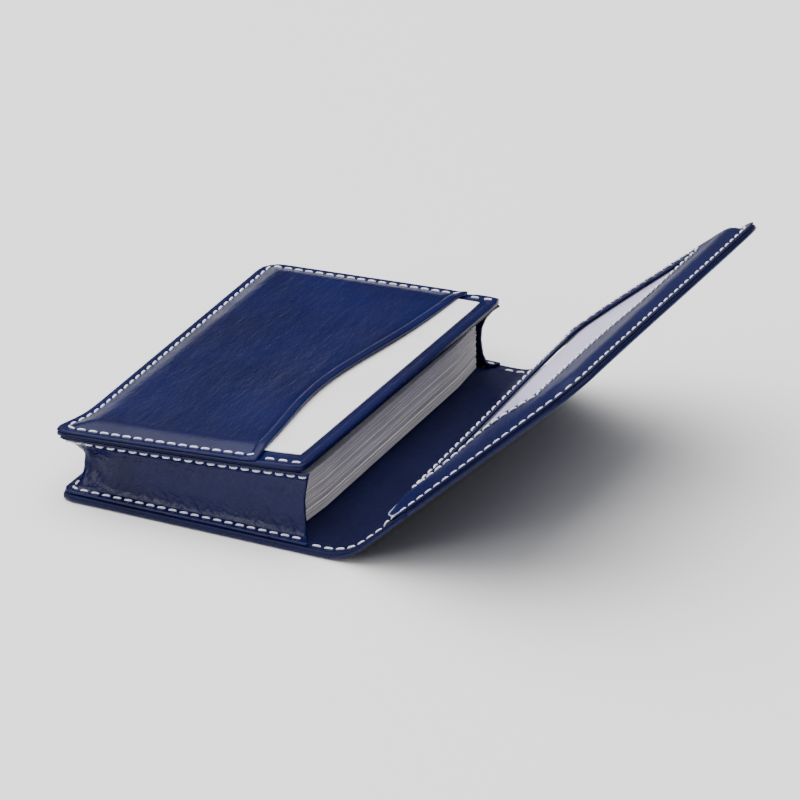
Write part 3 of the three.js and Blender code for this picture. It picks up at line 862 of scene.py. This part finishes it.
def build_window_panel():
    """A sheet of loops, from the panel's outer edge in to the edge of its window."""
    far_off = 9.0
    outline = panel_outline()
    insets = edge_insets(5.0, 0.45)
    loops = [outline.loop(d) for d in insets]
    distances = list(insets)
    inner = loops[-1]
    share = (inner - inner.min(0)) / (inner.max(0) - inner.min(0))
    hole = WINDOW_LOW + share * (WINDOW_HIGH - WINDOW_LOW)
    on_border = np.isclose(share, 0) | np.isclose(share, 1)
    outward = np.sign(share - 0.5) * np.where(on_border, 1, 0)
    near_hole = hole + outward * 4.0
    for k in (0.15, 0.3, 0.45, 0.6, 0.75):
        loops.append(inner * (1 - k) + near_hole * k)
        distances.append(far_off)
    gaps = [far_off] * len(loops)
    for gap in (3.4, 2.7, 2.2, 2.0, 1.8, 1.5, 1.1, 0.7, 0.4, 0.2, 0.08, 0.0):
        loops.append(hole + outward * gap)
        distances.append(far_off)
        gaps.append(gap)
    count = len(inner)
    xy = np.concatenate(loops)
    d = np.repeat(distances, count)
    gap = np.repeat(gaps, count)
    x, y = xy[:, 0], xy[:, 1]
    side = np.minimum(np.where(x > TIP_S - TIP_CORNER, d, HALF - np.abs(y)), TIP_S - x)
    # The panel is sewn down at its sides and stands over the card in the middle.
    base = panel_base(x, y, side)
    top = base + PANEL_THICK + stitch_groove(side, 0.16) - 0.05 * bump(gap, 2.0, 0.5)
    top += 0.04 * ripples(x, y, 41, 8.0, 0.5) * smooth(1, 4, side)
    rim = np.minimum(d, gap)
    bottom_points = bend(x, y, base + rounding(rim, PANEL_RADIUS))
    top_points = bend(x, y, top - rounding(rim, PANEL_RADIUS))
    rings = len(loops)
    total = rings * count
    faces = []
    for k in range(rings - 1):
        for i in range(count):
            j = (i + 1) % count
            quad = (k * count + i, k * count + j, (k + 1) * count + j, (k + 1) * count + i)
            faces.append(tuple(v + total for v in quad))
            faces.append(quad[::-1])
    for k, turn in ((0, 1), (rings - 1, -1)):
        for i in range(count):
            a, b = k * count + i, k * count + (i + 1) % count
            faces.append((a, b, total + b, total + a)[::turn])
    points = np.concatenate([bottom_points, top_points])
    travelled = np.concatenate([x, x])
    before_fold = [np.mean(travelled[list(face)]) < SPLIT_S for face in faces]
    for name, wanted, fold, node in [
            ("window_panel_mouth_leather", True, fold_lower, "window_panel_mouth"),
            ("window_panel_leather", False, fold_upper, "window_panel")]:
        kept = [face for face, before in zip(faces, before_fold) if before == wanted]
        piece = make_object(name, *compact(points, kept), NAVY_PANEL)
        fold(piece)
        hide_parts(node)


def build_mouth_highlight():
    """A pale bead along the window panel's mouth edge, a painted highlight on its rounded top."""
    outline = panel_outline()
    loop = outline.loop(0.35)
    loop = loop[loop[:, 0] < SPLIT_S - 0.8]
    x, y = loop[np.argsort(loop[:, 1])].T
    side = HALF - np.abs(y)
    height = panel_base(x, y, side) + PANEL_THICK + 0.06
    heading = np.gradient(np.stack([x, y], -1), axis=0)
    heading /= np.linalg.norm(heading, axis=1, keepdims=True)
    turns = 8
    rings = []
    for k in range(turns):
        angle = 2 * math.pi * k / turns
        out = EDGE_RADIUS * math.cos(angle)
        up = EDGE_RADIUS * math.sin(angle)
        rings.append(bend(x - heading[:, 1] * out, y + heading[:, 0] * out, height + up))
    points = np.stack(rings, 1).reshape(-1, 3)
    faces = []
    for i in range(len(x) - 1):
        for k in range(turns):
            a, b = i * turns + k, i * turns + (k + 1) % turns
            faces.append((a, b, b + turns, a + turns))
    faces.append(tuple(range(turns))[::-1])
    faces.append(tuple(range((len(x) - 1) * turns, len(x) * turns)))
    piece = make_object("window_panel_mouth_highlight", points, faces, MOUTH_HIGHLIGHT_PAINT)
    fold_lower(piece)


def compact(points, faces):
    """The points that the faces use, and the faces renumbered to them."""
    used = sorted({v for face in faces for v in face})
    number = {v: i for i, v in enumerate(used)}
    return points[used], [tuple(number[v] for v in face) for face in faces]


def build_window_card():
    low, high = node_box("window_card")
    outline = Outline(FOLD_S + 1.8, TIP_S - 6.8, low[1], high[1], (0.5,) * 4, 4.0, 3.0)

    def surfaces(x, y, d):
        return LINING_TOP + CARD_UNDER + 0 * x, CARD_TOP + 0 * x

    piece = solid_panel("window_card_paper", outline, surfaces, bend, PALE_PAPER)
    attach(piece, "window_card")
    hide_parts("window_card")


def build_window_film():
    (x0, y0), (x1, y1) = WINDOW_LOW, WINDOW_HIGH
    outline = Outline(x0 - 0.4, x1 + 2.0, y0 - 1.5, y1 + 1.5, (0, 0, 0, 0), 4.0, 3.0)
    low = CARD_TOP + FILM_GAP

    def surfaces(x, y, d):
        return low + 0 * x, low + FILM_THICK + 0 * x

    piece = solid_panel("window_film_sheet", outline, surfaces, bend, FILM)
    fold_upper(piece)
    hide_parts("window_film")


# ---------- stitches ----------


def stitch_row(name, path, closed=False):
    """Separate stitches along a path of (points, normals), each bowed out of the leather."""
    points, normals = path
    points = np.asarray(points)
    normals = np.asarray(normals)
    steps = np.linalg.norm(np.diff(points, axis=0), axis=1)
    travelled = np.concatenate([[0], np.cumsum(steps)])
    count = max(2, int(round(travelled[-1] / STITCH_PITCH)))
    centres = (np.arange(count) + 0.5) * travelled[-1] / count
    if closed:
        centres = np.arange(count) * travelled[-1] / count

    def at(s):
        return np.stack([np.interp(s, travelled, points[:, k]) for k in range(3)], -1)

    def normal_at(s):
        n = np.stack([np.interp(s, travelled, normals[:, k]) for k in range(3)], -1)
        return n / np.linalg.norm(n, axis=-1, keepdims=True)

    rings, sides = 9, 8
    verts, faces = [], []
    reach = STITCH_LENGTH / 2
    ts = np.linspace(-1, 1, rings)
    for centre in centres:
        s = np.clip(centre + ts * reach, 0, travelled[-1])
        base = at(s)
        up = normal_at(s)
        forward = at(s[-1]) - at(s[0])
        forward /= np.linalg.norm(forward) + 1e-9
        across = np.cross(up, forward)
        across /= np.linalg.norm(across, axis=-1, keepdims=True)
        height = 0.20 * (1 - ts ** 4) - 0.10
        radius = THREAD_RADIUS * np.sqrt(np.maximum(1 - (0.93 * np.abs(ts)) ** 5, 0.02))
        middle = base + up * height[:, None] + across * (STITCH_SLANT * reach * ts)[:, None]
        first = len(verts)
        for k in range(rings):
            for a in range(sides):
                angle = 2 * math.pi * a / sides
                offset = across[k] * math.cos(angle) * 1.12 + up[k] * math.sin(angle) * 0.85
                verts.append(middle[k] + offset * radius[k])
        for k in range(rings - 1):
            for a in range(sides):
                b = (a + 1) % sides
                i0 = first + k * sides
                faces.append((i0 + a, i0 + b, i0 + sides + b, i0 + sides + a)[::-1])
        faces.append(tuple(first + a for a in range(sides)))
        last = first + (rings - 1) * sides
        faces.append(tuple(last + a for a in range(sides))[::-1])
    return make_object(name, verts, faces, THREAD)


def row_path(xy, height, place):
    """Points and normals of a row drawn at (x, y) on a placed surface, height above it."""
    x, y = xy[:, 0], xy[:, 1]
    h = height(x, y) if callable(height) else np.full(len(x), height)
    points = place(x, y, h)
    above = place(x, y, h + 0.5)
    return points, above - points


def u_path(x_open, x_closed, half, radius, step=0.7):
    """In plan: along the near side, round the closed end, and back along the far side."""
    toward = np.sign(x_closed - x_open)
    arc_x = x_closed - toward * radius
    n = max(2, int(abs(arc_x - x_open) / step))
    points = [(x, -half) for x in np.linspace(x_open, arc_x, n)]
    for a in np.linspace(0, math.pi / 2, 7)[1:]:
        points.append((arc_x + toward * radius * math.sin(a), -half + radius * (1 - math.cos(a))))
    n = max(2, int((2 * half - 2 * radius) / step))
    points += [(x_closed, y) for y in np.linspace(-half + radius, half - radius, n)[1:]]
    for a in np.linspace(0, math.pi / 2, 7)[1:]:
        points.append((arc_x + toward * radius * math.cos(a), half - radius * (1 - math.sin(a))))
    n = max(2, int(abs(arc_x - x_open) / step))
    points += [(x, half) for x in np.linspace(arc_x, x_open, n)[1:]]
    return np.array(points)


def line(x0, x1, y, step=0.7):
    n = max(2, int(abs(x1 - x0) / step))
    return np.array([(x, y) for x in np.linspace(x0, x1, n)])


def finish_thread(piece, nodes, body=None, fold=None):
    if fold is not None:
        fold(piece)
    else:
        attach(piece, body)
    if nodes:
        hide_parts(*nodes)


def build_stitches(gusset_middle, gusset_normal):
    row = HALF - STITCH_INSET
    length = MOUTH - X0

    # Front panel: over the slip pocket on three sides, then down to the bare margin.
    def slip_seam(x, y):
        return slip_surfaces(x, y, np.full(len(x), STITCH_INSET))[1] + STITCH_RISE

    def bare_seam(x, y):
        return front_surfaces(x, y, np.full(len(x), STITCH_INSET))[1] + STITCH_RISE

    near_end, far_end = slip_mouth(-row) - 0.7, slip_mouth(row) - 0.7
    plan = u_path(near_end, STITCH_INSET, row, SEAM_CORNER)
    plan = plan[: np.argmax(plan[:, 1] >= row)]
    plan = np.concatenate([plan, line(SEAM_CORNER + STITCH_INSET, far_end, row)])
    path = row_path(plan, slip_seam, on_front)
    finish_thread(stitch_row("stitches_front", path), ["thread_front"], "case")
    for name, side, start in (("near", -1, near_end), ("far", 1, far_end)):
        path = row_path(line(start + 1.6, length - 0.9, side * row), bare_seam, on_front)
        finish_thread(stitch_row("stitches_mouth_" + name, path), ["thread_mouth_" + name], "case")

    # The gusset's upper seam, seen below the front panel's edge.
    seam = len(gusset_middle) - 6
    points = gusset_middle[seam] + gusset_normal[seam] * (GUSSET_THICK / 2 + STITCH_RISE)
    finish_thread(stitch_row("stitches_gusset_top", (points, gusset_normal[seam])), [], "case")

    # Back panel: on the gusset's flange.
    flange = CASE_MARGIN[1] + FLANGE_GAP + GUSSET_THICK
    path = row_path(u_path(length - 0.8, STITCH_INSET, row, SEAM_CORNER), flange, bend)
    finish_thread(stitch_row("stitches_back", path), ["thread_back"], "case")

    # Spine and flap sides on the lining, then on the window panel, and round the tip.
    def inside_height(x, y):
        on_panel = smooth(PANEL_START + 1.0, PANEL_START + 3.5, x)
        return margin(x, 1) - 0.1 + (0.03 + PANEL_THICK) * on_panel

    for name, side in (("near", -1), ("far", 1)):
        path = row_path(line(length + 1.2, SPLIT_S, side * row), inside_height, bend)
        piece = stitch_row("stitches_spine_" + name, path)
        finish_thread(piece, ["thread_spine_" + name], fold=fold_lower)
    tip_corner = TIP_CORNER - STITCH_INSET
    flap_plan = u_path(SPLIT_S, TIP_S - STITCH_INSET, row, tip_corner)
    path = row_path(flap_plan, inside_height, bend)
    finish_thread(stitch_row("stitches_flap", path), ["thread_flap"], fold=fold_upper)

    # The same seams on the outside, let into the leather.
    def outside(xy):
        x, y = xy[:, 0], xy[:, 1]
        level = np.full(len(x), -LEATHER_HALF + 0.3)
        points = bend(x, y, level)
        return points, points - bend(x, y, level + 0.5)

    plan = u_path(SPLIT_S, STITCH_INSET, row, SEAM_CORNER)
    finish_thread(stitch_row("stitches_outside_case", outside(plan)), [], fold=fold_lower)
    finish_thread(stitch_row("stitches_outside_flap", outside(flap_plan)), [], fold=fold_upper)

    # Round the window.
    x0, x1 = FOLD_S + WINDOW_X0 - 2.0, FOLD_S + WINDOW_X1 + 2.0
    half = WINDOW_HALF + 2.0
    loop = np.concatenate([
        line(x0, x1, -half),
        [(x1, y) for y in np.linspace(-half, half, 120)[1:]],
        line(x1, x0, half)[1:],
        [(x0, y) for y in np.linspace(half, -half, 120)[1:]]])

    def panel_seam(x, y):
        side = np.minimum(HALF - np.abs(y), TIP_S - x)
        return panel_base(x, y, side) + PANEL_THICK + 0.12

    path = row_path(loop, panel_seam, bend)
    piece = stitch_row("stitches_window", path, closed=True)
    finish_thread(piece, ["thread_window"], fold=fold_upper)


# ---------- stiffeners ----------


def build_board(name, node, x0, x1, low, high, place, body):
    half = node_box(node)[1][1] - 1.8
    outline = Outline(x0, x1, -half, half, (1.0, 1.0, 1.0, 1.0), 4.0, 3.0)

    def surfaces(x, y, d):
        return low + 0 * x, high + 0 * x

    piece = solid_panel(name, outline, surfaces, place, BOARD)
    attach(piece, body)
    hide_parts(node)


def build_boards():
    board_low, board_high = BOARD_LOW + 0.12, BOARD_HIGH - 0.08
    build_board(
        "back_board", "back_stiffener", CASE_BOARD[0] + 2.4, CASE_BOARD[1] - 2.4,
        board_low, board_high, bend, "case")
    build_board(
        "flap_board", "flap_stiffener", FLAP_BOARD[0] + 2.4, TIP_S - 5.2,
        board_low, board_high, bend, "flap")
    build_board(
        "front_board", "front_stiffener", 5.2, MOUTH - X0 - 5.2, -1.66, -0.86, on_front, "case")


# ---------- stage ----------


def build_stage():
    size = 3.0
    z = -0.0002
    corners = [(-size, -size, z), (size, -size, z), (size, size, z), (-size, size, z)]
    mesh = bpy.data.meshes.new("floor")
    mesh.from_pydata(corners, [], [(0, 1, 2, 3)])
    floor = bpy.data.objects.new("floor", mesh)
    bpy.context.scene.collection.objects.link(floor)
    material, _, shader = new_material("pale_floor")
    shader.inputs["Base Color"].default_value = (0.9, 0.9, 0.9, 1)
    shader.inputs["Roughness"].default_value = 0.9
    shader.inputs["Specular IOR Level"].default_value = 0.1
    mesh.materials.append(material)
    build_sky()
    add_area("key", (-0.4, 0.0, 1.6), 2.6, 54)
    add_area("side", (-0.42, -0.92, 0.30), 0.3, 3.0)
    add_area("rim", (-0.70, 0.95, 0.14), 0.2, 0.22)


def build_sky():
    """Bright overhead and dim at the horizon, like a softbox over a table."""
    world = bpy.data.worlds.new("studio")
    world.use_nodes = True
    tree = world.node_tree
    background = tree.nodes["Background"]
    background.inputs["Color"].default_value = (1, 1, 1, 1)
    coordinates = tree.nodes.new("ShaderNodeTexCoord")
    split = tree.nodes.new("ShaderNodeSeparateXYZ")
    tree.links.new(coordinates.outputs["Generated"], split.inputs["Vector"])
    rise = tree.nodes.new("ShaderNodeMapRange")
    rise.interpolation_type = "SMOOTHSTEP"
    rise.inputs["From Min"].default_value = 0.52
    rise.inputs["From Max"].default_value = 1.0
    rise.inputs["To Min"].default_value = 0.09
    rise.inputs["To Max"].default_value = 2.3
    tree.links.new(split.outputs["Z"], rise.inputs["Value"])
    tree.links.new(rise.outputs["Result"], background.inputs["Strength"])
    bpy.context.scene.world = world


def add_area(name, place, size, power):
    """An area light at a place, aimed at the origin."""
    data = bpy.data.lights.new(name, "AREA")
    data.size = size
    data.energy = power
    light = bpy.data.objects.new(name, data)
    light.location = place
    light.rotation_euler = (-Vector(place)).to_track_quat("-Z", "Y").to_euler()
    bpy.context.scene.collection.objects.link(light)


def build_camera():
    azimuth, elevation, roll = (math.radians(a) for a in (26.76, 25.76, -0.69))
    distance = 1.005
    target = Vector((X0 + 54.1, 7.1, 10.2)) * MM
    direction = Vector((
        math.sin(azimuth) * math.cos(elevation),
        -math.cos(azimuth) * math.cos(elevation),
        math.sin(elevation)))
    data = bpy.data.cameras.new("camera")
    data.sensor_width = 36.0
    data.lens = 205.8
    data.clip_start = 0.01
    data.clip_end = 20
    camera = bpy.data.objects.new("camera", data)
    camera.location = target + direction * distance
    turn = (-direction).to_track_quat("-Z", "Y").to_matrix().to_4x4() @ Matrix.Rotation(roll, 4, "Z")
    camera.rotation_euler = turn.to_euler()
    bpy.context.scene.collection.objects.link(camera)
    bpy.context.scene.camera = camera


build_camera()
build_folding_leather()
build_front_panel()
build_slip_pocket()
build_slip_card()
gusset_middle, gusset_normal = build_gusset()
build_cards()
build_window_panel()
build_mouth_highlight()
build_window_card()
build_window_film()
build_stitches(gusset_middle, gusset_normal)
build_boards()
build_stage()
